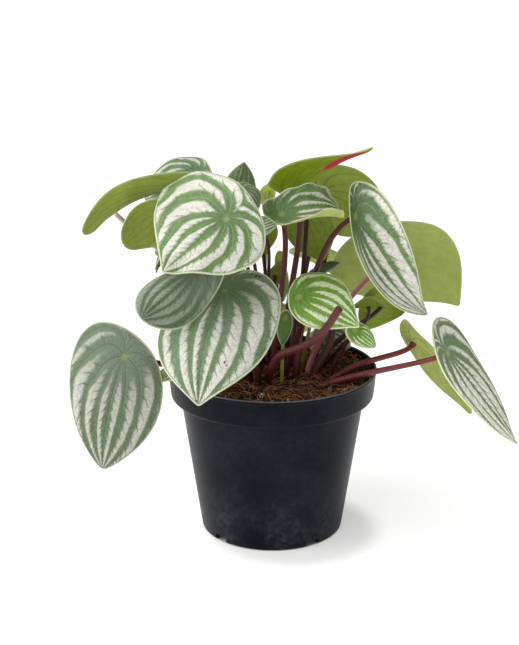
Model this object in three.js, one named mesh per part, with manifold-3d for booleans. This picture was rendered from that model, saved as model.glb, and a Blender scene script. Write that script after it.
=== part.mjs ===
import * as THREE from 'three';
import { mergeVertices } from 'three/addons/utils/BufferGeometryUtils.js';
import Module from 'manifold-3d';

// A potted peperomia in a black nursery pot. Millimetres, z up, origin at the middle of the base.
// The viewer stands on the -y side; x runs to the right.

// Pot
const RIM_RADIUS = 60;
const POT_HEIGHT = 97;
const RIM_BOTTOM = 80.6;
const BODY_TOP_RADIUS = 53;
const BASE_RADIUS = 41;
const WALL = 1.3;
const FLOOR = 1.5;
const CHANNEL_Z = 4.2;
const CHANNEL_INNER = 28;
const AROUND = 40;
const NOTCH_WIDTH = 8;
const NOTCH_HEIGHT = 3.6;
const NOTCH_TURNS = [-46, 34, 134, 214];
const DRAIN_RADIUS = 3.5;
const DRAIN_RING = 34;
const DRAIN_TURNS = [-6, 84, 174, 264];

// Soil
const SOIL_TOP = 92;
const SOIL_EDGE = 57.7;
const SOIL_RELIEF = 0.8;
const SOIL_MOUND = 1.2;
const FIT = 0.3;
const HOLE_DEPTH = 8;
const HOLE_FIT = 0.45;

// Leaves and stalks
const BLADE_THICKNESS = 1.1;
const STALK_GAP = 1.15;
const LARGE = { spokes: 20, rings: 3, sides: 6, steps: 7 };
const SMALL = { spokes: 12, rings: 2, sides: 5, steps: 6 };
const THICK_STALK = [2.0, 1.4];
const MIDDLE_STALK = [1.6, 1.1];
const THIN_STALK = [1.3, 0.9];
const YOUNG_STALK = [1.1, 0.8];

// Shape values that most leaves share: arch along the midrib, cup across it, sideways lean and sweep,
// skew of the back to one side, share by which the back is wider than the front, sharpness of the tip,
// lift of the back edge, twist, and how far a stalk leans out flat at its root
const COMMON = {
  arch: 4, cup: 4, lean: 0, skew: 0, sweep: 0, ovate: 0.2, point: 0.5, lift: 0, twist: 0, lay: 0,
  stalk: THICK_STALK,
};

// Large leaves: hub where the stalk joins, tip, the way the upper face looks, width, length behind the
// hub, and the stalk's root on the soil, its first rise and its last reach
const LARGE_LEAVES = [
  { name: 'front_crown', hub: [-25, -56, 197], tip: [-57, -79, 174], face: [-0.34, -0.84, 0.46],
    width: 70, back: 21.5, arch: 0.5, cup: 11, ovate: 0.45, point: 0.75, lean: -3, skew: 9,
    root: [-8, -24], rise: 80, reach: 34 },
  { name: 'front_dull', hub: [-40.5, -65.5, 172], tip: [-68, -86.5, 152], face: [-0.1, -0.95, 0.3],
    width: 28.5, back: 13, arch: -2, cup: 6, ovate: -0.35, point: 0.25, lean: 1.5, skew: -4.5,
    root: [-20, -15], rise: 90, reach: 30 },
  { name: 'front_hanging', hub: [-26, -51.5, 157], tip: [-39, -92, 107.2], face: [-0.24, -0.89, 0.39],
    width: 61.5, back: 15, arch: 7, cup: 7.5, sweep: -1.5, ovate: -0.05, point: 0.75, lean: -0.5,
    skew: -7, root: [-12, -20], rise: 30, reach: 22 },
  { name: 'far_left', hub: [-81, -42, 117], tip: [-94, -50, 54], face: [-0.05, -0.95, 0.3], width: 52,
    back: 16, arch: 6, cup: 5, sweep: -2, lean: 4.5, skew: 8, lay: 0.6, root: [-22, -10], rise: 20,
    reach: 14 },
  { name: 'left_arched', hub: [-52.5, 2, 200.5], tip: [-104.5, -16, 179.5], face: [-0.34, 0.35, 0.85],
    width: 33, back: 19, arch: 5.5, cup: -7, sweep: -1, ovate: 0.1, point: 0, lean: -3.5, skew: -3,
    twist: 8.5, root: [-9, 1], rise: 60, reach: 36 },
  { name: 'left_back', hub: [-44.7, 27, 204], tip: [-73, 22.5, 189], face: [-0.1, -0.5, 0.85],
    width: 37.5, back: 10, arch: 3, lean: -3, skew: 1, root: [-14, 8], rise: 60, reach: 40 },
  { name: 'left_under', hub: [-58, -6, 187.5], tip: [-82.5, -12, 171.5], face: [-0.2, 0.87, 0.45],
    width: 36.5, back: 6, arch: 2, cup: 5.5, point: 0.1, lean: 4, root: [-16, -4], rise: 50, reach: 16 },
  { name: 'top_cupped', hub: [11, 4, 197], tip: [54.5, -8, 225], face: [-0.3, 0.45, 0.87], width: 44.5,
    back: 10, arch: 2.5, cup: -6.5, sweep: -3.5, ovate: 0.85, point: 0.35, lean: 3.5, skew: -1,
    lift: 11, root: [6, 3], rise: 60, reach: 20 },
  { name: 'back_upright', hub: [29.5, 43, 189.5], tip: [67, 44, 167], face: [0.12, 0.98, 0.18],
    width: 43, back: 14, arch: 3.5, cup: 3.5, sweep: -1, ovate: 0, point: 0.55, lean: 1, skew: 4,
    root: [12, 12], rise: 60, reach: 7 },
  { name: 'centre_small', hub: [4.5, -24, 192], tip: [36, -12.5, 192], face: [0.1, -0.6, 0.82],
    width: 37, back: 12, arch: 3.5, cup: -15, ovate: -0.1, point: 0, lean: -7, lift: 7, root: [0, -8],
    rise: 50, reach: 40 },
  { name: 'right_large', hub: [44.5, -18, 189], tip: [84.5, -28, 136], face: [0.66, -0.64, 0.38],
    width: 28.5, back: 15, arch: -1.5, cup: -10.5, sweep: -11.5, ovate: 0.25, point: 0.35, lean: 3,
    skew: -1, twist: 4, root: [13, -12], rise: 40, reach: 32 },
  { name: 'right_back', hub: [70.5, 61.5, 148], tip: [115, 64, 114], face: [0.3, 0.89, 0.35], width: 72,
    back: 24.5, cup: 4.5, sweep: -1.5, ovate: 0.35, point: 0.7, lean: -2.5, skew: -3.5, root: [20, 1],
    rise: 40, reach: 10 },
  { name: 'centre_bright', hub: [14, -30, 147], tip: [46.5, -43, 134], face: [-0.07, -0.77, 0.64],
    width: 34.5, back: 8, arch: 5.5, cup: 6.5, sweep: 0.5, ovate: 0.3, point: 0.75, lean: 1.5,
    skew: -5.5, root: [6, -14], rise: 26, reach: 18 },
  { name: 'far_right', hub: [96.5, -28, 114], tip: [136.5, -36.5, 63], face: [0.75, -0.56, 0.35],
    width: 32.5, back: 18, arch: 0, cup: 0.5, ovate: 0.4, point: 0.6, skew: -6, lay: 0.8,
    root: [11, -22], rise: 24, reach: 20 },
  { name: 'far_right_under', hub: [81, 0, 111], tip: [115.5, -2.5, 68.5], face: [0.5, 0.62, 0.6],
    width: 22.5, back: 16.5, arch: 2.5, cup: -1, sweep: 5.5, ovate: 0.05, lean: -0.5, lay: 0.6,
    root: [25, -13], rise: 26, reach: 12 },
  { name: 'rear_left', hub: [-38, 50, 161], tip: [-64, 79, 138], face: [-0.35, 0.5, 0.8], width: 54,
    back: 16, arch: 5, cup: 5, root: [-16, 13], rise: 45, reach: 30 },
  { name: 'rear_right', hub: [34, 86, 142], tip: [48, 117, 114], face: [0.3, 0.5, 0.8], width: 50,
    back: 16, arch: 5, cup: 5, root: [8, 19], rise: 62, reach: 30 },
  { name: 'rear_low_left', hub: [-38, 58, 112], tip: [-52, 88, 80], face: [-0.2, 0.7, 0.7], width: 44,
    back: 16, arch: 5, cup: 5, root: [-10, 19], rise: 20, reach: 18 },
  { name: 'rear_low_right', hub: [8, 68, 110], tip: [13, 100, 80], face: [0.1, 0.7, 0.7], width: 42,
    back: 16, arch: 5, cup: 5, root: [-1, 22], rise: 20, reach: 18 },
];

// Small leaves: the same values, each made in one piece with its stalk
const SMALL_LEAVES = [
  { name: 'under_centre', hub: [19, 16, 181], tip: [29, 13, 156], face: [-0.1, 0.95, 0.2], width: 28,
    back: 8, arch: 3, cup: 3, root: [14, 2], rise: 40, reach: 8, stalk: MIDDLE_STALK },
  { name: 'small_under', hub: [62, 14, 130], tip: [78, 16, 126], face: [0.1, 0.9, 0.3], width: 34,
    back: 12, arch: 2, cup: 2, point: 0.2, root: [24, 10], rise: 24, reach: 8, stalk: MIDDLE_STALK },
  { name: 'left_sliver', hub: [-57.5, -27, 178], tip: [-63.5, -31, 161], face: [-0.8, 0.3, 0.5],
    width: 13, back: 5, arch: 1, cup: 2, root: [-21, -4], rise: 45, reach: 8 },
  { name: 'peak', hub: [-20, 14, 191], tip: [-16, 24, 211], face: [0.1, -0.95, -0.2], width: 20,
    back: 8, arch: 2, cup: 2, point: 0.6, root: [-8, 11], rise: 50, reach: 14 },
  { name: 'small_dark', hub: [-17, 0, 200], tip: [-8, -8, 191], face: [0.2, -0.6, 0.75], width: 18,
    back: 7, arch: 2, cup: 2, root: [-5, 6], rise: 60, reach: 30 },
  { name: 'small_cup', hub: [54, -3, 134], tip: [64, -4, 133], face: [0, 0.5, 0.85], width: 17, back: 8,
    arch: 1, cup: -3, root: [26, 3], rise: 20, reach: 14 },
  { name: 'spotted', hub: [46, -14, 123], tip: [58, -12, 112], face: [0, -0.8, 0.6], width: 13, back: 5,
    arch: 2, cup: 2, root: [31, -7], rise: 14, reach: 10 },
  { name: 'low_back_a', hub: [32, 18, 110], tip: [46, 22, 101], face: [-0.2, -0.9, 0.3], width: 20,
    back: 8, arch: 2, cup: 2, root: [22, 17], rise: 10, reach: 4 },
  { name: 'low_back_b', hub: [30, 28, 104], tip: [45, 31, 102], face: [0, -0.5, 0.85], width: 20,
    back: 9, arch: 2, cup: 2, root: [27, 23], rise: 4, reach: 4 },
  { name: 'under_left', hub: [-8, 18, 171], tip: [-11, 14, 155], face: [-0.3, 0.9, 0.3], width: 22,
    back: 10, arch: 2, cup: 2, root: [-1, 8], rise: 40, reach: 8 },
  { name: 'green_edge', hub: [6, 22, 152], tip: [6, 24, 128], face: [0.8, 0.5, 0.1], width: 12, back: 8,
    arch: 2, cup: 2, root: [1, 16], rise: 30, reach: 4 },
  { name: 'striped_bit', hub: [-8, -6, 180], tip: [4, -8, 184], face: [0.2, -0.7, 0.7], width: 12,
    back: 6, arch: 1, cup: 1, root: [-7, -11], rise: 50, reach: 20 },
  { name: 'shade_leaf', hub: [1, 2, 149], tip: [8, 3, 160], face: [0.4, 0.8, 0.4], width: 9, back: 6,
    arch: 1, cup: 1, root: [-2, 2], rise: 30, reach: 10 },
  { name: 'young_point', hub: [24.5, 6, 151.5], tip: [38.5, 2, 157.5], face: [0, -0.5, 0.85], width: 9,
    back: 6, arch: 1, cup: 1, root: [17, 7], rise: 30, reach: 10, stalk: YOUNG_STALK },
  { name: 'young_drop', hub: [7, -21, 132], tip: [5, -24, 117], face: [0.1, -0.95, 0.1], width: 9,
    back: 5, arch: 1, cup: 1, root: [5, -20], rise: 16, reach: 5, stalk: YOUNG_STALK },
  { name: 'low_left', hub: [-50, -32, 108], tip: [-64, -42, 102], face: [-0.2, -0.6, 0.75], width: 12,
    back: 6, arch: 1, cup: 1, lay: 0.4, root: [-24, -17], rise: 12, reach: 8 },
  { name: 'pale_edge', hub: [-2.5, 20, 195], tip: [-4.5, 18, 185], face: [0.1, 0.9, 0.3], width: 9,
    back: 4, arch: 1, cup: 1, root: [-5, 16], rise: 60, reach: 6, stalk: YOUNG_STALK },
];

// Leafless stalks: the points they pass through and their first and last radius
const BARE_STALKS = [
  { name: 'cut_stalk', radii: [2.6, 2.0], through: [
    [-1, -17, 84], [-2, -20, 98], [0, -26, 106], [5, -33, 115], [18, -43, 124], [27, -50, 134],
    [35, -54.5, 148],
  ] },
  { name: 'mid_stalk', radii: [3.4, 2.0], through: [
    [21, -8, 84], [26, -6, 99], [32, -4, 110], [35, -3, 124],
  ] },
  { name: 'pale_stalk', radii: [1.2, 1.5], through: [
    [-22, 4, 84], [-32, 9, 125], [-56, 12, 156], [-78, 12, 171.5], [-84, 13, 178.5], [-89, 14, 183],
  ] },
];

// Colours
const BLACK_PLASTIC = { color: 0x202126, roughness: 0.45 };
const COIR = { color: 0x4a3226, roughness: 0.95 };
const LEAF_GREEN = { color: 0x76936a, roughness: 0.45 };
const STALK_RED = { color: 0x6a3237, roughness: 0.4 };

const wasm = await Module();
wasm.setup();

const group = new THREE.Group();
group.name = 'potted_peperomia';

function addMesh(name, geometry, look) {
  const shaded = geometry.index ? geometry.toNonIndexed() : geometry.clone();
  shaded.computeVertexNormals();
  const mesh = new THREE.Mesh(shaded, new THREE.MeshStandardMaterial({ metalness: 0, ...look }));
  mesh.name = name;
  group.add(mesh);
}

function indexedGeometry(points, triangles) {
  const geometry = new THREE.BufferGeometry();
  const values = points.flatMap((point) => [point.x, point.y, point.z]);
  geometry.setAttribute('position', new THREE.Float32BufferAttribute(values, 3));
  geometry.setIndex(triangles.flat());
  return geometry;
}

function toSolid(geometry) {
  const bare = geometry.clone();
  bare.deleteAttribute('normal');
  bare.deleteAttribute('uv');
  const merged = mergeVertices(bare, 1e-5);
  return new wasm.Manifold(new wasm.Mesh({
    numProp: 3,
    vertProperties: new Float32Array(merged.attributes.position.array),
    triVerts: new Uint32Array(merged.index.array),
  }));
}

function fromSolid(solid) {
  const mesh = solid.getMesh();
  const geometry = new THREE.BufferGeometry();
  geometry.setAttribute('position', new THREE.Float32BufferAttribute(mesh.vertProperties, 3));
  geometry.setIndex(Array.from(mesh.triVerts));
  return geometry;
}

// A turned body about the z axis from radius and height pairs that run from the axis round to the axis
function turned(profile) {
  const points = profile.map(([radius, z]) => new THREE.Vector2(radius, z));
  const geometry = new THREE.LatheGeometry(points, AROUND);
  geometry.rotateX(Math.PI / 2);
  return geometry;
}

// The leaf's own frame: x from hub to tip, z out of the upper face
function leafFrame(leaf) {
  const hub = new THREE.Vector3(...leaf.hub);
  const along = new THREE.Vector3(...leaf.tip).sub(hub);
  const length = along.length();
  along.normalize();
  const face = new THREE.Vector3(...leaf.face);
  face.addScaledVector(along, -face.dot(along)).normalize();
  const across = new THREE.Vector3().crossVectors(face, along);
  return { hub, along, across, face, length };
}

// Outline of the blade at an angle round it, as distances along and across
function outlineAt(leaf, length, angle) {
  const half = (length + leaf.back) / 2;
  const u = (length - leaf.back) / 2 + half * Math.cos(angle);
  const taper = 1 - leaf.point * Math.exp(-((angle / 0.8) ** 2));
  const swell = 1 - leaf.ovate * Math.cos(angle);
  const shift = leaf.lean * Math.sin(angle) ** 2 - leaf.skew * (1 - u / length) ** 2;
  return [u, leaf.width / 2 * Math.sin(angle) * swell * taper + shift];
}

// Height of the blade's middle surface over the leaf's own plane
function heightAt(leaf, length, u, v) {
  const half = leaf.width / 2;
  const front = 4 * leaf.arch * (u / length) * (1 - u / length);
  const behind = 4 * leaf.arch * (u / length) * (1 + u / (2 * leaf.back)) + leaf.lift * (u / leaf.back) ** 2;
  return (u > 0 ? front : behind) - leaf.cup * (v / half) ** 2 + leaf.twist * u * v / (length * half);
}

function bladePoint(leaf, frame, u, v, offset) {
  const swept = v + 4 * leaf.sweep * (u / frame.length) * (1 - u / frame.length);
  const z = heightAt(leaf, frame.length, u, v) + offset;
  return frame.hub.clone().addScaledVector(frame.along, u)
    .addScaledVector(frame.across, swept).addScaledVector(frame.face, z);
}

// A closed blade: upper and lower faces split alike, joined by a thin edge
function bladeGeometry(leaf, { spokes, rings }) {
  const frame = leafFrame(leaf);
  const points = [];
  const triangles = [];
  const half = BLADE_THICKNESS / 2;
  for (const offset of [half, -half]) {
    points.push(bladePoint(leaf, frame, 0, 0, offset));
    for (let ring = 1; ring <= rings; ring += 1) {
      for (let spoke = 0; spoke < spokes; spoke += 1) {
        const angle = 2 * Math.PI * spoke / spokes - Math.PI;
        const [u, v] = outlineAt(leaf, frame.length, angle);
        points.push(bladePoint(leaf, frame, u * ring / rings, v * ring / rings, offset));
      }
    }
  }
  const lower = 1 + rings * spokes;
  const outer = 1 + (rings - 1) * spokes;
  for (let spoke = 0; spoke < spokes; spoke += 1) {
    const next = (spoke + 1) % spokes;
    const faces = [[0, 1 + spoke, 1 + next]];
    for (let ring = 0; ring < rings - 1; ring += 1) {
      const a = 1 + ring * spokes + spoke;
      const b = 1 + ring * spokes + next;
      faces.push([a, a + spokes, b], [b, a + spokes, b + spokes]);
    }
    for (const [i, j, k] of faces) {
      triangles.push([i, j, k], [lower + i, lower + k, lower + j]);
    }
    const a = outer + spoke;
    const b = outer + next;
    triangles.push([a, lower + a, b], [b, lower + a, lower + b]);
  }
  return indexedGeometry(points, triangles);
}

// A tapering round rod along a row of points
function rodGeometry(path, [first, last], sides) {
  const points = [];
  const triangles = [];
  const count = path.length;
  let side = new THREE.Vector3(1, 0, 0);
  path.forEach((centre, i) => {
    const before = path[Math.max(i - 1, 0)];
    const after = path[Math.min(i + 1, count - 1)];
    const way = after.clone().sub(before).normalize();
    side = side.clone().addScaledVector(way, -side.dot(way)).normalize();
    const other = new THREE.Vector3().crossVectors(way, side);
    const radius = first + (last - first) * i / (count - 1);
    for (let k = 0; k < sides; k += 1) {
      const angle = 2 * Math.PI * k / sides;
      points.push(centre.clone().addScaledVector(side, radius * Math.cos(angle))
        .addScaledVector(other, radius * Math.sin(angle)));
    }
  });
  const startCap = points.push(path[0].clone()) - 1;
  const endCap = points.push(path[count - 1].clone()) - 1;
  const lastRing = (count - 1) * sides;
  for (let k = 0; k < sides; k += 1) {
    const next = (k + 1) % sides;
    triangles.push([startCap, next, k], [endCap, lastRing + k, lastRing + next]);
    for (let i = 0; i < count - 1; i += 1) {
      const a = i * sides + k;
      const b = i * sides + next;
      triangles.push([a, b, a + sides], [b, b + sides, a + sides]);
    }
  }
  return indexedGeometry(points, triangles);
}

// The stalk leaves the soil upright, or leaning out, and meets the blade square to its underside
function stalkPath(leaf, steps, below) {
  const { hub, along, face, length } = leafFrame(leaf);
  const normal = face.clone().addScaledVector(along, -4 * leaf.arch / length).normalize();
  const start = new THREE.Vector3(...leaf.root, SOIL_TOP - HOLE_DEPTH);
  const out = new THREE.Vector3(hub.x - start.x, hub.y - start.y, 0).normalize();
  const laid = out.multiplyScalar(0.96).add(new THREE.Vector3(0, 0, 0.28)).multiplyScalar(leaf.lay);
  const way = new THREE.Vector3(0, 0, 1 - leaf.lay).add(laid).normalize();
  const climb = new THREE.Vector3(0, 0, leaf.lay > 0 ? 5 : 0);
  const first = start.clone().addScaledVector(way, leaf.rise).add(climb);
  const end = hub.clone().addScaledVector(normal, -below);
  const second = end.clone().addScaledVector(normal, -leaf.reach);
  return new THREE.CubicBezierCurve3(start, first, second, end).getPoints(steps);
}

// The hole that a rod needs in the soil
function holeAround(path, radii, sides) {
  const lowest = path.slice(0, 4);
  const way = lowest[1].clone().sub(lowest[0]).normalize();
  const deeper = [lowest[0].clone().addScaledVector(way, -HOLE_FIT), ...lowest.slice(1)];
  const taper = (radii[1] - radii[0]) * 3 / (path.length - 1);
  return toSolid(rodGeometry(deeper, [radii[0] + HOLE_FIT, radii[0] + taper + HOLE_FIT], sides));
}

// Pot, with notches in its foot and drain holes in its raised channel
function potGeometry() {
  const slope = (BODY_TOP_RADIUS - BASE_RADIUS) / 80;
  const innerAt = (z) => BASE_RADIUS + slope * z - WALL;
  const channelTop = CHANNEL_Z + FLOOR;
  let pot = toSolid(turned([
    [0, 0], [26, 0], [CHANNEL_INNER, CHANNEL_Z], [38.6, CHANNEL_Z], [39.2, 0], [BASE_RADIUS - 0.4, 0],
    [BASE_RADIUS, 0.5], [BODY_TOP_RADIUS, 80], [BODY_TOP_RADIUS + 0.8, RIM_BOTTOM - 0.2],
    [57.2, RIM_BOTTOM], [58.4, RIM_BOTTOM + 1.2], [RIM_RADIUS - 0.3, POT_HEIGHT - 2],
    [RIM_RADIUS, POT_HEIGHT - 1.6], [RIM_RADIUS, POT_HEIGHT - 0.4], [RIM_RADIUS - 0.4, POT_HEIGHT],
    [RIM_RADIUS - 1, POT_HEIGHT], [RIM_RADIUS - 1.3, POT_HEIGHT - 0.5], [57, 83], [56.3, 82.1],
    [innerAt(81.4), 81.4], [innerAt(channelTop), channelTop], [CHANNEL_INNER, channelTop],
    [26, FLOOR], [0, FLOOR],
  ]));
  for (const turn of NOTCH_TURNS) {
    const notch = new THREE.BoxGeometry(NOTCH_WIDTH, 6, 2 * NOTCH_HEIGHT);
    notch.translate(0, -(BASE_RADIUS - 0.5), 0);
    notch.rotateZ(THREE.MathUtils.degToRad(turn));
    pot = pot.subtract(toSolid(notch));
  }
  for (const turn of DRAIN_TURNS) {
    const drain = new THREE.CylinderGeometry(DRAIN_RADIUS, DRAIN_RADIUS, 12, 16);
    drain.rotateX(Math.PI / 2);
    drain.translate(0, -DRAIN_RING, CHANNEL_Z);
    drain.rotateZ(THREE.MathUtils.degToRad(turn));
    pot = pot.subtract(toSolid(drain));
  }
  return fromSolid(pot);
}

// Small humps of the soil's surface, fading out at the pot's wall
function soilHeight(x, y) {
  const radius = Math.hypot(x, y) / SOIL_EDGE;
  const humps = Math.sin(x / 6 + 1.3) * Math.cos(y / 7) + 0.6 * Math.sin((x + y) / 4.1 + 0.4);
  return (1 - radius ** 4) * (SOIL_RELIEF * humps) + SOIL_MOUND * (1 - radius ** 2);
}

function soilGeometry(holes) {
  const slope = (BODY_TOP_RADIUS - BASE_RADIUS) / 80;
  const sideAt = (z) => BASE_RADIUS + slope * z - WALL - FIT - 0.05;
  const bottom = CHANNEL_Z + FLOOR + FIT;
  const surface = [52, 44, 36, 28, 20, 10, 0].map((radius) => [radius, SOIL_TOP]);
  const geometry = turned([
    [0, FLOOR + FIT], [25.7, FLOOR + FIT], [CHANNEL_INNER - 0.2, bottom], [sideAt(bottom), bottom],
    [sideAt(81.75), 81.75], [55.9, 82.45], [56.6, 83.3], [SOIL_EDGE, SOIL_TOP - 0.2], ...surface,
  ]);
  const position = geometry.attributes.position;
  for (let i = 0; i < position.count; i += 1) {
    if (position.getZ(i) > SOIL_TOP - 0.1) {
      position.setZ(i, SOIL_TOP + soilHeight(position.getX(i), position.getY(i)));
    }
  }
  return fromSolid(holes.reduce((body, hole) => body.subtract(hole), toSolid(geometry)));
}

const holes = [];

for (const values of LARGE_LEAVES) {
  const leaf = { ...COMMON, ...values };
  const path = stalkPath(leaf, LARGE.steps, STALK_GAP);
  holes.push(holeAround(path, leaf.stalk, LARGE.sides));
  addMesh(`blade_${leaf.name}`, bladeGeometry(leaf, LARGE), LEAF_GREEN);
  addMesh(`stalk_${leaf.name}`, rodGeometry(path, leaf.stalk, LARGE.sides), STALK_RED);
}

for (const values of SMALL_LEAVES) {
  const leaf = { ...COMMON, stalk: THIN_STALK, ...values };
  const path = stalkPath(leaf, SMALL.steps, 0);
  holes.push(holeAround(path, leaf.stalk, SMALL.sides));
  const blade = toSolid(bladeGeometry(leaf, SMALL));
  const stalk = toSolid(rodGeometry(path, leaf.stalk, SMALL.sides));
  addMesh(`leaf_${leaf.name}`, fromSolid(blade.add(stalk)), LEAF_GREEN);
}

for (const { name, through, radii } of BARE_STALKS) {
  const curve = new THREE.CatmullRomCurve3(through.map((point) => new THREE.Vector3(...point)));
  const path = curve.getPoints(2 * through.length);
  holes.push(holeAround(path, radii, LARGE.sides));
  addMesh(name, rodGeometry(path, radii, LARGE.sides), STALK_RED);
}

addMesh('pot', potGeometry(), BLACK_PLASTIC);
addMesh('soil', soilGeometry(holes), COIR);

export default group;
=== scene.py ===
"""Potted watermelon peperomia.

A round black nursery pot filled with coir, and a clump of silver-striped leaves on dark red stalks.
Metres, z up, origin at the middle of the pot's base; the viewer stands on the -y side.
"""

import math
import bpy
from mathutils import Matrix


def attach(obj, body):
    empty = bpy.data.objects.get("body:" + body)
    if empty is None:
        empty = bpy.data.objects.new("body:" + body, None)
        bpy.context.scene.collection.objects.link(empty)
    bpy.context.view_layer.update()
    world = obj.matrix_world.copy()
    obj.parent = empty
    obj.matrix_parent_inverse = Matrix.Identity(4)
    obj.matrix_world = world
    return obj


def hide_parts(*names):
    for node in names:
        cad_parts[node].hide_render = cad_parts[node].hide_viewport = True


bl_info = {
    "name": "Potted peperomia",
    "version": (1, 0, 0),
    "blender": (4, 5, 0),
    "location": "3D View > Sidebar > Peperomia",
    "description": "Builds a potted peperomia from named sizes and colours",
    "category": "Add Mesh",
}

from types import SimpleNamespace

import bpy
import numpy as np
from bpy.props import FloatProperty, FloatVectorProperty, IntProperty, PointerProperty

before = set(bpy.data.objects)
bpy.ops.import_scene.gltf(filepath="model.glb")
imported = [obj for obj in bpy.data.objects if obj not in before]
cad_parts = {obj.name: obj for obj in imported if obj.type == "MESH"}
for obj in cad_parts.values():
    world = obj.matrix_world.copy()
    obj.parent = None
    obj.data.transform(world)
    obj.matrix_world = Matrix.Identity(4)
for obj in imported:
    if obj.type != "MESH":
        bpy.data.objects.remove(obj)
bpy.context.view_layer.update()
MM = 0.001

# Pot and soil, in millimetres and degrees
NOTCH_TURNS = (-46, 34, 134, 214)
DRAIN_TURNS = (-6, 84, 174, 264)
DRAIN_CIRCLE = 34
DRAIN_RADIUS = 3.5
SOIL_EDGE = 57.7
ROOT_DEPTH = 8

# Loose soil: seeds of the random draws, and how coarse fibres and crumbs are
SOIL_SEED = 11
FLAKE_SEED = 3
WHITE_GRAINS = 16
FIBRE_POINTS = 7
FIBRE_SIDES = 3
CRUMB_CORNERS = 6

# Veins: POLE is where they meet again, as a share of the length, BEND how much they turn at the margin, and
# SLIM the half width of the round blade that they are laid out for, as a share of its length
POLE = 1.0
BEND = 0.3
SLIM = 0.62
VEIN_RELIEF = 0.25 * MM

# Stalks: sides, how far an end bulges as a share of its radius, and first and last radii
STALK_SIDES = 14
DOME = 0.35
THICK_STALK = (2.0, 1.4)
MIDDLE_STALK = (1.6, 1.1)
THIN_STALK = (1.3, 0.9)
YOUNG_STALK = (1.1, 0.8)

# Floor: half its width, and how far it lies under the pot so that the two don't touch, in millimetres
FLOOR_REACH = 8000
FLOOR_DROP = 0.5

# Lamps: name, place, width as an angle in degrees, power
LAMPS = [("key", (-0.45, -0.3, 0.9), 80, 1.7), ("side", (-0.9, -0.2, 0.3), 30, 0.9)]

# Leaves, in millimetres. hub: where the stalk joins the blade; face: the way the upper side looks; back:
# length behind the hub; root, rise, reach and lay lead the stalk. arch, cup, sweep, lift and twist bend the
# blade; ovate, point, lean and skew set its outline. silver, fresh and bright are how wide the bands are, how
# yellow the green is and how light the bands are; under is how yellow the underside is, lines how light its
# veins are; haze is dull film, and tone makes the whole leaf, both faces, darker or lighter: partly its own
# lightness and partly painted light and painted shade for how brightly the leaf is lit. skin runs from a dark
# red stalk over pink to young green and pale; the lighter red on the way is partly painted light. blush is a
# crimson patch, as centre and half-sizes on the blade's plan.
COMMON = dict(
    arch=4, cup=4, lean=0, skew=0, sweep=0, ovate=0.2, point=0.5, lift=0, twist=0, lay=0, stalk=THICK_STALK,
    silver=0.6, fresh=0.3, bright=0.9, wave=0.5, waves=5, blush=(0, 0, 0, 0), skin=0.0, haze=0, under=0.4,
    lines=0, tone=1,
)


def large(name, hub, tip, face, width, back, root, rise, reach, **own):
    """A leaf's values: its place and size, and its own looks over those that most leaves share."""
    placed = dict(
        name=name, hub=hub, tip=tip, face=face, width=width, back=back, root=root, rise=rise, reach=reach)
    return SimpleNamespace(**{**COMMON, **placed, **own})


def small(*placed, **own):
    """The same for a small leaf, which has a thin stalk and little wave."""
    return large(*placed, **{"stalk": THIN_STALK, "wave": 0.25, **own})


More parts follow.
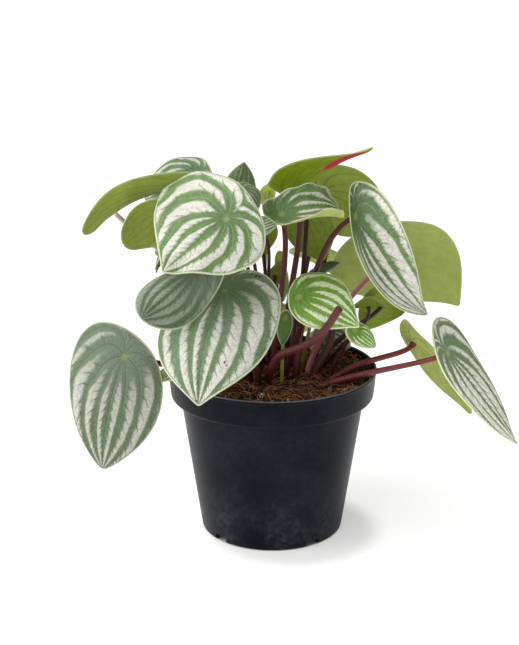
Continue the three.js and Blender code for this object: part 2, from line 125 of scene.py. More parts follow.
LARGE_LEAVES = [
    large("front_crown", (-25, -56, 197), (-57, -79, 174), (-0.34, -0.84, 0.46), 70, 21.5, (-8, -24), 80,
          34, arch=0.5, cup=11, ovate=0.45, point=0.75, lean=-3, skew=9, silver=0.64, bright=1, wave=0.9,
          waves=9, tone=1.06),
    large("front_dull", (-40.5, -65.5, 172), (-68, -86.5, 152), (-0.1, -0.95, 0.3), 28.5, 13, (-20, -15),
          90, 30, arch=-2, cup=6, ovate=-0.35, point=0.25, lean=1.5, skew=-4.5, silver=0.55, fresh=0,
          bright=0.42, haze=0.7, tone=0.84),
    large("front_hanging", (-26, -51.5, 157), (-39, -92, 107.2), (-0.24, -0.89, 0.39), 61.5, 15,
          (-12, -20), 30, 22, arch=7, cup=7.5, sweep=-1.5, ovate=-0.05, point=0.75, lean=-0.5, skew=-7,
          silver=0.62, fresh=0, bright=0.92, haze=0.3),
    large("far_left", (-81, -42, 117), (-94, -50, 54), (-0.05, -0.95, 0.3), 52, 16, (-22, -10), 20, 14,
          arch=6, cup=5, sweep=-2, lean=4.5, skew=8, lay=0.6, silver=0.52, fresh=0, skin=0.25, haze=0.6,
          tone=0.86),
    large("left_arched", (-52.5, 2, 200.5), (-104.5, -16, 179.5), (-0.34, 0.35, 0.85), 33, 19, (-9, 1),
          60, 36, arch=5.5, cup=-7, sweep=-1, ovate=0.1, point=0, lean=-3.5, skew=-3, twist=8.5,
          fresh=0.35, bright=1, under=0.5, tone=0.95),
    large("left_back", (-44.7, 27, 204), (-73, 22.5, 189), (-0.1, -0.5, 0.85), 37.5, 10, (-14, 8), 60, 40,
          arch=3, lean=-3, skew=1, silver=0.5, fresh=0.15, bright=0.85),
    large("left_under", (-58, -6, 187.5), (-82.5, -12, 171.5), (-0.2, 0.87, 0.45), 36.5, 6, (-16, -4), 50,
          16, arch=2, cup=5.5, point=0.1, lean=4, fresh=0.25, under=0.45, tone=0.96),
    large("top_cupped", (11, 4, 197), (54.5, -8, 225), (-0.3, 0.45, 0.87), 44.5, 10, (6, 3), 60, 20,
          arch=2.5, cup=-6.5, sweep=-3.5, ovate=0.85, point=0.35, lean=3.5, skew=-1, lift=11, fresh=0.95,
          bright=1, skin=0.15, blush=(0.66, 0.02, 0.26, 0.12), under=1),
    large("back_upright", (29.5, 43, 189.5), (67, 44, 167), (0.12, 0.98, 0.18), 43, 14, (12, 12), 60, 7,
          arch=3.5, cup=3.5, sweep=-1, ovate=0, point=0.55, lean=1, skew=4, fresh=0.75, skin=0.15,
          under=0.55, tone=0.98),
    large("centre_small", (4.5, -24, 192), (36, -12.5, 192), (0.1, -0.6, 0.82), 37, 12, (0, -8), 50, 40,
          arch=3.5, cup=-15, ovate=-0.1, point=0, lean=-7, lift=7, silver=0.42, fresh=0.4, bright=0.98,
          wave=0.8, waves=11, skin=0.15, under=0),
    large("right_large", (44.5, -18, 189), (84.5, -28, 136), (0.66, -0.64, 0.38), 28.5, 15, (13, -12), 40,
          32, arch=-1.5, cup=-10.5, sweep=-11.5, ovate=0.25, point=0.35, lean=3, skew=-1, twist=4,
          silver=0.7, fresh=0.2, bright=0.98, skin=0.12, tone=1.06),
    large("right_back", (70.5, 61.5, 148), (115, 64, 114), (0.3, 0.89, 0.35), 72, 24.5, (20, 1), 40, 10,
          cup=4.5, sweep=-1.5, ovate=0.35, point=0.7, lean=-2.5, skew=-3.5, skin=0.7, under=0.22, lines=1,
          tone=0.98),
    large("centre_bright", (14, -30, 147), (46.5, -43, 134), (-0.07, -0.77, 0.64), 34.5, 8, (6, -14), 26,
          18, arch=5.5, cup=6.5, sweep=0.5, ovate=0.3, point=0.75, lean=1.5, skew=-5.5, silver=0.5,
          fresh=0.95, bright=1, tone=1.3),
    large("far_right", (96.5, -28, 114), (136.5, -36.5, 63), (0.75, -0.56, 0.35), 32.5, 18, (11, -22), 24,
          20, arch=0, cup=0.5, ovate=0.4, point=0.6, skew=-6, lay=0.8, silver=0.85, fresh=0.15, bright=1,
          skin=0.38, haze=0.25, tone=1.3),
    large("far_right_under", (81, 0, 111), (115.5, -2.5, 68.5), (0.5, 0.62, 0.6), 22.5, 16.5, (25, -13),
          26, 12, arch=2.5, cup=-1, sweep=5.5, ovate=0.05, lean=-0.5, lay=0.6, skin=0.35, under=0.1),
    large("rear_left", (-38, 50, 161), (-64, 79, 138), (-0.35, 0.5, 0.8), 54, 16, (-16, 13), 45, 30,
          arch=5, cup=5),
    large("rear_right", (34, 86, 142), (48, 117, 114), (0.3, 0.5, 0.8), 50, 16, (8, 19), 62, 30, arch=5,
          cup=5, silver=0.62),
    large("rear_low_left", (-38, 58, 112), (-52, 88, 80), (-0.2, 0.7, 0.7), 44, 16, (-10, 19), 20, 18,
          arch=5, cup=5, silver=0.55, fresh=0.2),
    large("rear_low_right", (8, 68, 110), (13, 100, 80), (0.1, 0.7, 0.7), 42, 16, (-1, 22), 20, 18,
          arch=5, cup=5),
]

SMALL_LEAVES = [
    small("under_centre", (19, 16, 181), (29, 13, 156), (-0.1, 0.95, 0.2), 28, 8, (14, 2), 40, 8, arch=3,
          cup=3, stalk=MIDDLE_STALK, fresh=0.6, under=0.6, tone=0.8),
    small("small_under", (62, 14, 130), (78, 16, 126), (0.1, 0.9, 0.3), 34, 12, (24, 10), 24, 8, arch=2,
          cup=2, point=0.2, stalk=MIDDLE_STALK, fresh=0.6, under=0.75),
    small("left_sliver", (-57.5, -27, 178), (-63.5, -31, 161), (-0.8, 0.3, 0.5), 13, 5, (-21, -4), 45, 8,
          arch=1, cup=2, silver=0.4, tone=0.6),
    small("peak", (-20, 14, 191), (-16, 24, 211), (0.1, -0.95, -0.2), 20, 8, (-8, 11), 50, 14, arch=2,
          cup=2, point=0.6, silver=0.1, fresh=0.2, bright=0.85, haze=0.3, tone=0.8),
    small("small_dark", (-17, 0, 200), (-8, -8, 191), (0.2, -0.6, 0.75), 18, 7, (-5, 6), 60, 30, arch=2,
          cup=2, silver=0.35, bright=0.8, tone=0.75),
    small("small_cup", (54, -3, 134), (64, -4, 133), (0, 0.5, 0.85), 17, 8, (26, 3), 20, 14, arch=1,
          cup=-3, silver=0.4, fresh=0.8, under=0.9, tone=0.6),
    small("spotted", (46, -14, 123), (58, -12, 112), (0, -0.8, 0.6), 13, 5, (31, -7), 14, 10, arch=2,
          cup=2, silver=0.5, fresh=1, bright=1, tone=1.6),
    small("low_back_a", (32, 18, 110), (46, 22, 101), (-0.2, -0.9, 0.3), 20, 8, (22, 17), 10, 4, arch=2,
          cup=2),
    small("low_back_b", (30, 28, 104), (45, 31, 102), (0, -0.5, 0.85), 20, 9, (27, 23), 4, 4, arch=2,
          cup=2),
    small("under_left", (-8, 18, 171), (-11, 14, 155), (-0.3, 0.9, 0.3), 22, 10, (-1, 8), 40, 8, arch=2,
          cup=2, fresh=0.8, under=0.8, tone=1.1),
    small("green_edge", (6, 22, 152), (6, 24, 128), (0.8, 0.5, 0.1), 12, 8, (1, 16), 30, 4, arch=2, cup=2,
          fresh=1, under=0.8, tone=1.15),
    small("striped_bit", (-8, -6, 180), (4, -8, 184), (0.2, -0.7, 0.7), 12, 6, (-7, -11), 50, 20, arch=1,
          cup=1, fresh=0.4),
    small("shade_leaf", (1, 2, 149), (8, 3, 160), (0.4, 0.8, 0.4), 9, 6, (-2, 2), 30, 10, arch=1, cup=1,
          tone=0.55),
    small("young_point", (24.5, 6, 151.5), (38.5, 2, 157.5), (0, -0.5, 0.85), 9, 6, (17, 7), 30, 10,
          arch=1, cup=1, stalk=YOUNG_STALK, silver=0.1, fresh=0.4, skin=1, tone=0.5),
    small("young_drop", (7, -21, 132), (5, -24, 117), (0.1, -0.95, 0.1), 9, 5, (5, -20), 16, 5, arch=1,
          cup=1, stalk=YOUNG_STALK, silver=0.02, fresh=0.6, skin=1, tone=0.85),
    small("low_left", (-50, -32, 108), (-64, -42, 102), (-0.2, -0.6, 0.75), 12, 6, (-24, -17), 12, 8,
          arch=1, cup=1, lay=0.4, fresh=0.6),
    small("pale_edge", (-2.5, 20, 195), (-4.5, 18, 185), (0.1, 0.9, 0.3), 9, 4, (-5, 16), 60, 6, arch=1,
          cup=1, stalk=YOUNG_STALK, fresh=1, skin=1, under=0.5, tone=1.35),
]

# Leafless stalks: the points they pass through and their first and last radius
BARE_STALKS = [
    dict(name="cut_stalk", radii=(2.6, 2.0), skin=0.16, through=(
        (-1, -17, 84), (-2, -20, 98), (0, -26, 106), (5, -33, 115), (18, -43, 124), (27, -50, 134),
        (35, -54.5, 148),
    )),
    dict(name="mid_stalk", radii=(3.4, 2.0), skin=0.1, through=(
        (21, -8, 84), (26, -6, 99), (32, -4, 110), (35, -3, 124),
    )),
    dict(name="pale_stalk", radii=(1.2, 1.5), skin=1.5, through=(
        (-22, 4, 84), (-32, 9, 125), (-56, 12, 156), (-78, 12, 171.5), (-84, 13, 178.5), (-89, 14, 183),
    )),
]

# Dry bits: leaf, share of its length, place across it, size, and 0 for dark to 1 for light
DRY_BITS = [
    ("front_hanging", 0.65, 11.8, 2.0, 1.0), ("front_hanging", 0.67, 13.2, 1.4, 0.9),
    ("front_hanging", 0.22, -6.0, 1.0, 0.7), ("front_hanging", 0.97, -1.2, 1.0, 0.2),
    ("front_hanging", -0.18, 13.0, 0.9, 0.0), ("front_hanging", -0.18, 15.0, 1.1, 0.1),
    ("front_hanging", -0.14, 17.5, 0.8, 0.0), ("front_hanging", -0.19, 10.5, 0.7, 0.2),
    ("far_right", 0.5, 9.5, 1.2, 0.8), ("front_crown", 0.6, 14.0, 0.5, 0.4),
]


def tint(red, green, blue):
    """A colour written as 0 to 255 screen values, turned to the linear values that shaders take."""
    screen = np.array([red, green, blue]) / 255
    linear = np.where(screen <= 0.04045, screen / 12.92, ((screen + 0.055) / 1.055) ** 2.4)
    return tuple(float(value) for value in linear)


def size(name, description, millimetres):
    """A size for the panel, from millimetres."""
    return FloatProperty(name=name, description=description, default=millimetres * MM, unit="LENGTH")


def paint(name, description, *screen):
    """A colour for the panel, from screen values."""
    return FloatVectorProperty(name=name, description=description, default=tint(*screen), subtype="COLOR")


class PotSettings(bpy.types.PropertyGroup):
    rim_radius: size("Rim radius", "Outer radius of the rim", 60)
    height: size("Height", "Height of the pot", 97)
    base_radius: size("Base radius", "Outer radius at the floor", 41)
    notch_height: size("Notch height", "Height of the notches in the foot", 3.6)
    notch_width: size("Notch width", "Width of the notches in the foot", 8)
    plastic: paint("Plastic", "Colour of the plastic", 6, 8, 17)
    dust: paint("Dust", "Colour of dust and scuffs", 74, 76, 82)


class SoilSettings(bpy.types.PropertyGroup):
    top: size("Soil level", "Height of the soil at the wall", 92)
    relief: size("Relief", "Size of the humps", 0.8)
    mound: size("Mound", "Rise of the middle", 1.2)
    fibres: IntProperty(name="Fibres", description="Number of coir fibres", default=1700)
    crumbs: IntProperty(name="Crumbs", description="Number of coir crumbs", default=1900)
    # dark is partly painted shade: the near-black of the gaps between crumbs and fibres
    dark: paint("Dark coir", "Colour of the gaps", 17, 10, 6)
    middle: paint("Middle coir", "Colour of most crumbs", 84, 48, 30)
    light: paint("Light coir", "Colour of the lightest fibres", 190, 128, 86)


class LeafSettings(bpy.types.PropertyGroup):
    thickness: size("Blade thickness", "Thickness of a blade", 0.95)
    puff: size("Puff", "Rise of the blade between its veins", 0.42)
    bands: IntProperty(name="Veins", description="Main veins of a blade", default=9)
    green_dull: paint("Dull green", "Green of old leaves", 100, 125, 84)
    green_fresh: paint("Fresh green", "Green of young leaves", 118, 158, 52)
    silver_dull: paint("Silver", "Bands of old leaves", 230, 226, 216)
    silver_fresh: paint("Fresh silver", "Bands of young leaves", 220, 230, 196)
    # painted light, in part: both underside colours are lightened for light that shines through the blade
    under_pale: paint("Pale underside", "Underside of old leaves", 188, 198, 112)
    under_fresh: paint("Fresh underside", "Underside of young leaves", 138, 162, 0)
    margin: paint("Margin", "Thin pale line round a blade", 212, 218, 188)
    hub: paint("Hub", "Spot over the stalk", 168, 182, 104)
    blush: paint("Blush", "Crimson patch", 190, 44, 58)


class StalkSettings(bpy.types.PropertyGroup):
    dark: paint("Dark red", "Colour of old stalks", 58, 18, 18)
    # red is partly painted light: a lit copy of the dark red, which skin gives to stalks that catch the light
    red: paint("Red", "Colour of lit stalks", 122, 48, 50)
    pink: paint("Pink", "Colour of pink stalks", 192, 116, 124)
    young: paint("Young", "Colour of young stalks", 146, 158, 62)
    pale: paint("Pale", "Colour of pale stalks", 206, 178, 172)


class StageSettings(bpy.types.PropertyGroup):
    distance: size("Camera distance", "Distance to the aim", 850)
    elevation: FloatProperty(
        name="Camera elevation", description="Angle over the floor", default=math.radians(17.5),
        unit="ROTATION")
    aim: FloatVectorProperty(
        name="Aim", description="Point the camera looks at", default=(-0.0074, 0.0, 0.123),
        subtype="TRANSLATION")
    lens: FloatProperty(name="Lens", description="Focal length in millimetres", default=83.26)
    floor: paint("Floor", "Colour of the floor", 196, 196, 196)


# Mesh helpers


def unit(vectors):
    """Each vector divided by its own length."""
    return vectors / np.linalg.norm(vectors, axis=-1, keepdims=True)


def smooth(values, low, high):
    """0 under low, 1 over high, and a soft step between them."""
    share = np.clip((values - low) / (high - low), 0, 1)
    return share * share * (3 - 2 * share)


def grid(*axes):
    """Points from coordinates that are spread over one another."""
    return np.stack(np.broadcast_arrays(*axes), axis=-1)


def circle(count):
    """Even angles once round."""
    return np.linspace(0, 2 * np.pi, count, endpoint=False)


def polar(radius, angle):
    """x and y at a radius and an angle."""
    return radius * np.cos(angle), radius * np.sin(angle)


def around(way, first, sides):
    """Unit directions round each point of a path, square to it; first is one of them."""
    angle = circle(sides)[:, None]
    return np.cos(angle) * first[..., None, :] + np.sin(angle) * np.cross(way, first)[..., None, :]


def ring_faces(rows, columns):
    """Four-cornered faces of a grid whose rows close into rings; corners are numbered row by row."""
    here = np.arange(rows - 1)[:, None] * columns
    first = here + np.arange(columns)
    second = here + np.roll(np.arange(columns), -1)
    return np.stack([first, second, second + columns, first + columns], axis=-1).reshape(-1, 4)


def fan_faces(centre, first, columns):
    """Triangles that close a ring, which starts at corner number first, on one centre corner."""
    ring = first + np.arange(columns)
    return np.stack([np.full(columns, centre), np.roll(ring, -1), ring], axis=-1)


def closed_rings(rings, start, end):
    """Points and faces of a skin over a stack of rings with a centre point at each end, facing outwards.

    The signed volume, the sum over triangles of the determinant of their three corners, tells whether the
    faces look in, and then they are all turned round."""
    rows, columns = rings.shape[:2]
    points = np.concatenate([rings.reshape(-1, 3), [start], [end]])
    quads = ring_faces(rows, columns)
    fans = np.concatenate([
        fan_faces(rows * columns, 0, columns),
        fan_faces(rows * columns + 1, (rows - 1) * columns, columns)[:, ::-1],
    ])
    if np.sum(np.linalg.det(points[np.concatenate([quads[:, :3], quads[:, [0, 2, 3]], fans])])) < 0:
        quads, fans = quads[:, ::-1], fans[:, ::-1]
    return points, quads, fans


def filled_mesh(name, points, faces):
    """A mesh from points in millimetres and groups of faces."""
    mesh = bpy.data.meshes.new(name)
    faces = [face for group in faces for face in group.tolist()]
    mesh.from_pydata((np.asarray(points) * MM).tolist(), [], faces)
    return mesh


def add_object(name, data):
    """A new object at the origin."""
    thing = bpy.data.objects.new(name, data)
    bpy.context.scene.collection.objects.link(thing)
    return thing


def add_piece(name, points, faces, materials, node, maps=None, traits=None, face_materials=None):
    """Puts points in millimetres and faces into a new object that stands for a CAD node.

    maps are named pairs per point, kept as UV maps; traits are named values or triples per point."""
    mesh = filled_mesh(name, points, faces)
    for material in materials:
        mesh.materials.append(material)
    corners = np.empty(len(mesh.loops), dtype=np.int64)
    mesh.loops.foreach_get("vertex_index", corners)
    for key, values in (maps or {}).items():
        mesh.uv_layers.new(name=key).data.foreach_set("uv", values[corners].ravel())
    for key, values in (traits or {}).items():
        kind, field = ("FLOAT", "value") if values.ndim == 1 else ("FLOAT_VECTOR", "vector")
        mesh.attributes.new(key, kind, "POINT").data.foreach_set(field, values.astype(np.float32).ravel())
    if face_materials is not None:
        mesh.polygons.foreach_set("material_index", face_materials)
    mesh.polygons.foreach_set("use_smooth", np.ones(len(mesh.polygons), dtype=bool))
    mesh.update()
    piece = add_object(name, mesh)
    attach(piece, "root")
    if node:
        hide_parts(node)
    return piece


# Material helpers


class Value:
    """A node's output that sums can be written with; each sum adds one Math node."""

    def __init__(self, tree, socket):
        self.tree = tree
        self.socket = socket

    def out(self, key):
        """Another output of the same node."""
        return Value(self.tree, self.socket.node.outputs[key])

    def math(self, operation, *others):
        """A sum by the name of its Math node's operation."""
        return put(self.tree, "ShaderNodeMath", dict(enumerate([self, *others])), operation=operation)

    def __add__(self, other):
        return self.math("ADD", other)

    def __sub__(self, other):
        return self.math("SUBTRACT", other)

    def __mul__(self, other):
        return self.math("MULTIPLY", other)

    def __truediv__(self, other):
        return self.math("DIVIDE", other)


def fill(tree, node, inputs):
    """Sets or links inputs of a node."""
    for key, value in inputs.items():
        if isinstance(value, Value):
            tree.links.new(value.socket, node.inputs[key])
        else:
            node.inputs[key].default_value = value


def put(tree, kind, inputs=None, output=0, **settings):
    """Adds a node, sets its options and fills its inputs; gives back one of its outputs."""
    node = tree.nodes.new(kind)
    for key, value in settings.items():
        setattr(node, key, value)
    fill(tree, node, inputs or {})
    return Value(tree, node.outputs[output])


def step(value, low, high, bottom=0.0, top=1.0):
    """Soft step of a value from low to high."""
    inputs = {"Value": value, "From Min": low, "From Max": high, "To Min": bottom, "To Max": top}
    return put(value.tree, "ShaderNodeMapRange", inputs, interpolation_type="SMOOTHSTEP")


def layered(colour, *layers):
    """A colour with others over it, one by one, each with its share."""
    for share, over in layers:
        pair = (value if isinstance(value, Value) else (*value, 1) for value in (colour, over))
        colour = put(share.tree, "ShaderNodeMix", dict(zip((0, 6, 7), (share, *pair))), 2, data_type="RGBA")
    return colour


def grey(level):
    """A grey as a colour."""
    return (level, level, level)


def toned(colour, tone):
    """A colour made darker or lighter."""
    return put(colour.tree, "ShaderNodeVectorMath", {0: colour, "Scale": tone}, operation="SCALE")


def speckle(place, scale, detail=2.0):
    """Soft random values from 0 to 1."""
    return put(place.tree, "ShaderNodeTexNoise", {"Vector": place, "Scale": scale, "Detail": detail})


def vector(first, second, third=0.0):
    """Three values as one vector."""
    return put(first.tree, "ShaderNodeCombineXYZ", {0: first, 1: second, 2: third})


def axis(place, name):
    """One coordinate of a vector."""
    return put(place.tree, "ShaderNodeSeparateXYZ", {0: place}, name)


def attribute(tree, name, output="Fac"):
    """A trait that the mesh holds per point."""
    return put(tree, "ShaderNodeAttribute", None, output, attribute_name=name, attribute_type="GEOMETRY")


def on_object(tree):
    """The place on the object."""
    return put(tree, "ShaderNodeTexCoord", None, "Object")


def raised(height, distance, strength):
    """Normal from a height; distance is the height of 1 in metres."""
    return put(height.tree, "ShaderNodeBump", {"Height": height, "Distance": distance, "Strength": strength})


def ready(name, looks, *values):
    """The named material, made once; looks gives the inputs of its one Principled shader."""
    material = bpy.data.materials.get(name)
    if material is None:
        material = bpy.data.materials.new(name)
        material.use_nodes = True
        tree = material.node_tree
        fill(tree, tree.nodes["Principled BSDF"], looks(tree, *values))
    return material


def node_group(name, inputs, build):
    """A node group, made once. inputs are names and defaults, None for a vector; build gives the outputs."""
    if name in bpy.data.node_groups:
        return bpy.data.node_groups[name]
    tree = bpy.data.node_groups.new(name, "ShaderNodeTree")
    for key, default in inputs.items():
        kind = "NodeSocketVector" if default is None else "NodeSocketFloat"
        socket = tree.interface.new_socket(name=key, in_out="INPUT", socket_type=kind)
        if default is not None:
            socket.default_value = default
    start = tree.nodes.new("NodeGroupInput")
    results = build(*(Value(tree, start.outputs[key]) for key in inputs))
    for key in results:
        tree.interface.new_socket(name=key, in_out="OUTPUT", socket_type="NodeSocketFloat")
    fill(tree, tree.nodes.new("NodeGroupOutput"), results)
    return tree


def mottle_masks(place, scale, grain):
    """Clouds with fine grain in them."""
    fine = speckle(place, scale * 12.0)
    return {"Mask": step(speckle(place, scale, 3.0) + (fine - 0.5) * grain, 0.35, 0.65), "Grain": fine}


def mottled(tree, scale):
    """Cloudy mask and fine grain, for plastic, soil, grains and flakes."""
    group = node_group("mottle", {"Vector": None, "Scale": 40.0, "Grain": 0.3}, mottle_masks)
    inputs = {"Vector": on_object(tree), "Scale": scale}
    mask = put(tree, "ShaderNodeGroup", inputs, node_tree=group)
    return mask, mask.out("Grain")


# What each of a blade's four triples holds, and what the bands are drawn from, with stand-in values
BLADE_TRAITS = {
    "rim": ("Edge", "Hub", "Spread"), "traits": ("Silver", "fresh", "bright"),
    "extra": ("Seed", "blush", "haze"), "below": ("under", "lines", "tone"),
}
BLADE_INPUTS = {"Plan": None, "Edge": 5.0, "Hub": 10.0, "Spread": 1.0, "Silver": 0.6, "Seed": 0.0}


def blade_masks(veins, plan, edge, hub, spread, silver, seed):
    """Masks of the silver bands, veins, margin and hub of a blade, worked out on the blade's own plan.

    plan is the place on the blade with the hub at 0, 0 and the tip at 1, 0, and spread widens it so that a
    slim blade has as many veins as a round one. The angle seen from the hub plus the angle seen from the tip
    stays the same along an arc, so whole steps of that sum are the main veins, and the silver lies between
    them. The sum grows by up to BEND towards the margin, which turns the arcs forward. The logarithm of the
    distance to the hub over the distance to the tip counts the side veins. They run forwards and outwards,
    and scallop each band's inner edge. The fine net is the borders of random cells."""
    x = axis(plan, "X")
    across = x.out("Y")
    y = across * spread
    place = vector(x, across, seed)
    broad = speckle(place, 2.2, 1.0) - 0.5
    middle = speckle(place, 9.0) - 0.5
    fine = speckle(place, 60.0, 3.0) - 0.5
    shift = vector(middle * 0.09, fine * 0.05)
    shaken = put(plan.tree, "ShaderNodeVectorMath", {0: place, 1: shift}, operation="ADD")
    inputs = {"Vector": shaken, "Scale": 24.0}
    cells = put(plan.tree, "ShaderNodeTexVoronoi", inputs, feature="DISTANCE_TO_EDGE")

    ahead = x * -1.0 + POLE
    outward = hub / (hub + edge + 0.1)
    angle = y.math("ARCTAN2", x) + y.math("ARCTAN2", ahead)
    angle = angle.math("ABSOLUTE") * (outward.math("POWER", 3.0) * BEND + 1.0)
    turns = angle * (veins / (2 * math.pi)) + broad * step(angle, 0.0, 0.9, 0.0, 0.75)
    share = turns.math("FRACT")
    lane = turns.math("FLOOR")

    close = (x * x + across * across).math("SQRT")
    near = (x * x + y * y).math("SQRT")
    far = (ahead * ahead + y * y).math("SQRT")
    count = ((near + 0.03) / (far + 0.01)).math("LOGARITHM", math.e) * 3.3 + lane * 0.37 + middle * 0.9
    tooth = (count - share * 1.5).math("FRACT")
    rest = tooth * -1.0 + 1.0

    uneven = speckle(vector(x * 2.2, lane * 3.7, seed + across), 1.0, 0.0)
    grow = step(close, 0.08, 0.45, 0.18, 0.5) * step(uneven, 0.3, 0.7, 0.7, 1.25)
    half = silver * grow + middle * 0.14
    aside = share - 0.52 + fine * 0.22
    inner = step(tooth * rest * 0.3 + aside + half, -0.02, 0.24)
    outer = step(half - aside, -0.05, 0.08)
    side = step(tooth.math("MINIMUM", rest), 0.02, 0.1, 1.0, 0.0) * step(share, 0.25, 0.8, 1.0, 0.0)
    begin = step(silver * 0.35 + middle * 0.2 + close, 0.31, 0.47)
    end = step(fine * 2.4 + edge, 0.6, 1.8)

    beside = share.math("MINIMUM", share * -1.0 + 1.0)
    return {
        "Silver": inner * outer * (side * -0.75 + 1.0) * begin * end,
        "Line": step(beside * (near + 0.12) / 0.028, 0.35, 1.0, 1.0, 0.0),
        "Side": side,
        "Margin": step(edge, 0.4, 1.15, 1.0, 0.0),
        "Hub": step(middle * 2.0 + hub, 0.3, 2.8, 1.0, 0.0),
        "Grain": fine + 0.5,
        "Near": close,
        "Cloud": middle + 0.5,
        "Net": step(cells, 0.0, 0.13, 1.0, 0.0),
    }


def blade_parts(tree, veins):
    """The blade's masks, and its traits, which the mesh holds three by three.

    Capitals start what the group takes in or gives out; its Silver and Hub masks take the place of the two
    traits that they are made from."""
    parts = {"Plan": put(tree, "ShaderNodeUVMap", uv_map="plan")}
    for name, keys in BLADE_TRAITS.items():
        split = axis(attribute(tree, name, "Vector"), "X")
        parts.update({key: split.out(letter) for key, letter in zip(keys, "XYZ")})
    group = node_group("blade_bands", BLADE_INPUTS, lambda *given: blade_masks(veins, *given))
    masks = put(tree, "ShaderNodeGroup", {key: parts[key] for key in BLADE_INPUTS}, node_tree=group)
    return parts | {key: masks.out(key) for key in masks.socket.node.outputs.keys()}


# Looks: each gives the inputs of a material's shader


def upper_looks(tree, values):
    """Upper face: green with silver bands, a fine net, a pale margin and a yellow-green hub."""
    part = blade_parts(tree, values.bands)
    fresh, haze, grain, cloud = (part[key] for key in ("fresh", "haze", "Grain", "Cloud"))
    silver, line, side, net, near = (part[key] for key in ("Silver", "Line", "Side", "Net", "Near"))
    deep = layered(tint(72, 100, 60), (fresh, tint(76, 120, 26)))
    pale = layered(tint(142, 166, 130), (fresh, tint(160, 194, 92)))
    green = layered(
        values.green_dull, (fresh, values.green_fresh),
        (step(near, 0.05, 0.5, 0.75, 0.0).math("MAXIMUM", step(cloud, 0.3, 0.6, 0.5, 0.0)), deep),
        (step(grain, 0.45, 0.8, 0.0, 0.55), pale), (net * 0.45, toned(deep, 0.6)), (line * 0.25, pale))
    shine = layered(
        values.silver_dull, (fresh * fresh, values.silver_fresh),
        (step(grain, 0.35, 0.62, 0.28, 0.0), tint(158, 162, 142)),
        (step(cloud, 0.25, 0.6, 0.18, 0.0), tint(178, 180, 162)), (net * 0.32, tint(134, 146, 112)))
    colour = layered(
        green, (silver, layered(green, (part["bright"], shine))),
        (haze * step(near, 0.05, 0.6, 1.0, 0.15), tint(133, 143, 127)),
        (line.math("MAXIMUM", side * 0.8) * haze, tint(80, 95, 72)),
        (part["Margin"] * 0.9, values.margin), (part["Hub"] * 0.65, values.hub))
    height = silver * 0.4 + grain * 0.35 - side * 0.45 - line * 0.5 - net * 0.3
    return {
        # tone is partly painted light and shade: the whole upper face made lighter or darker
        "Base Color": toned(colour, part["tone"]),
        "Roughness": silver * 0.06 + haze * 0.2 + grain * 0.12 + 0.34,
        "Normal": raised(height, VEIN_RELIEF, 0.8),
    }


def under_looks(tree, values):
    """Underside: olive with thin veins, darker or lighter than the rest; blush turns it crimson.

    Its olives are partly painted light: lightened for light that shines through the blade.
    """
    part = blade_parts(tree, values.bands)
    under, grain, line, side = (part[key] for key in ("under", "Grain", "Line", "Side"))
    # painted light, in part: these olives are lightened too, for light through the blade
    deep = layered(tint(152, 164, 82), (under, tint(102, 128, 0)))
    vein = layered(tint(84, 92, 44), (under, tint(58, 74, 4)), (part["lines"], tint(182, 192, 142)))
    colour = layered(
        values.under_pale, (under, values.under_fresh), (step(part["Cloud"], 0.3, 0.7, 0.0, 0.42), deep),
        (step(grain, 0.4, 0.7, 0.0, 0.15), tint(176, 184, 130)), (line * 0.4, vein), (side * 0.06, vein),
        (part["Net"] * 0.1, vein), (part["Margin"] * 0.25, values.margin), (part["blush"], values.blush))
    return {
        # tone is partly painted light and shade: the whole underside made lighter or darker
        "Base Color": toned(colour, part["tone"]), "Roughness": 0.62, "Specular IOR Level": 0.14,
        "Normal": raised(line * 0.8 + grain * 0.2 + side * 0.25, VEIN_RELIEF, 0.6),
    }


def stalk_looks(tree, values):
    """Smooth stalk skin: dark red to pink or yellow-green by its skin value, with streaks and specks.

    The lighter red between the dark red and pink is partly painted light, on stalks that catch the light.
    """
    skin = attribute(tree, "skin")
    along = put(tree, "ShaderNodeUVMap", uv_map="along")
    streak = speckle(put(tree, "ShaderNodeMapping", {"Vector": along, "Scale": (0.35, 5.0, 1.0)}), 3.0, 3.0)
    colour = layered(
        # painted light, in part: skin from 0 to 0.35 lifts the dark red to the lit red
        values.dark, (step(skin, 0.0, 0.35), values.red), (step(skin, 0.35, 0.7), values.pink),
        (step(skin, 0.75, 1.0), values.young), (step(skin, 1.1, 1.4), values.pale),
        (step(streak, 0.45, 0.75, 0.0, 0.4), tint(60, 26, 30)),
        (step(speckle(along, 26.0, 0.0), 0.72, 0.78, 0.0, 0.6), tint(196, 150, 146)))
    return {
        "Base Color": colour, "Roughness": 0.36, "Specular IOR Level": 0.35,
        "Normal": raised(streak, 0.2 * MM, 0.5),
    }


def pot_looks(tree, values):
    """Black moulded plastic with faint clouding, fine grain, a painted highlight along the lip and dust
    towards the floor.
    """
    place = on_object(tree)
    clouds, grain = mottled(tree, 28.0)
    height = axis(place, "Z")
    marks = step(speckle(place, 300.0, 4.0), 0.3, 0.8) * step(speckle(place, 55.0, 3.0), 0.38, 0.62)
    dust = marks * (step(height, 0.0, 40 * MM, 1.0, 0.0) * 0.5 + 0.08)
    # painted highlight: light grey over the top 0.8 mm of the lip
    lip = step(height, 96.2 * MM, 96.9 * MM, 0.0, 0.32)
    return {
        "Base Color": layered(
            values.plastic, (clouds * 0.08, values.dust), (dust, values.dust), (lip, tint(170, 172, 178))),
        "Roughness": clouds * 0.08 + dust * 0.5 + 0.34, "Specular IOR Level": 0.09,
        "Normal": raised(grain, 0.06 * MM, 0.5),
    }


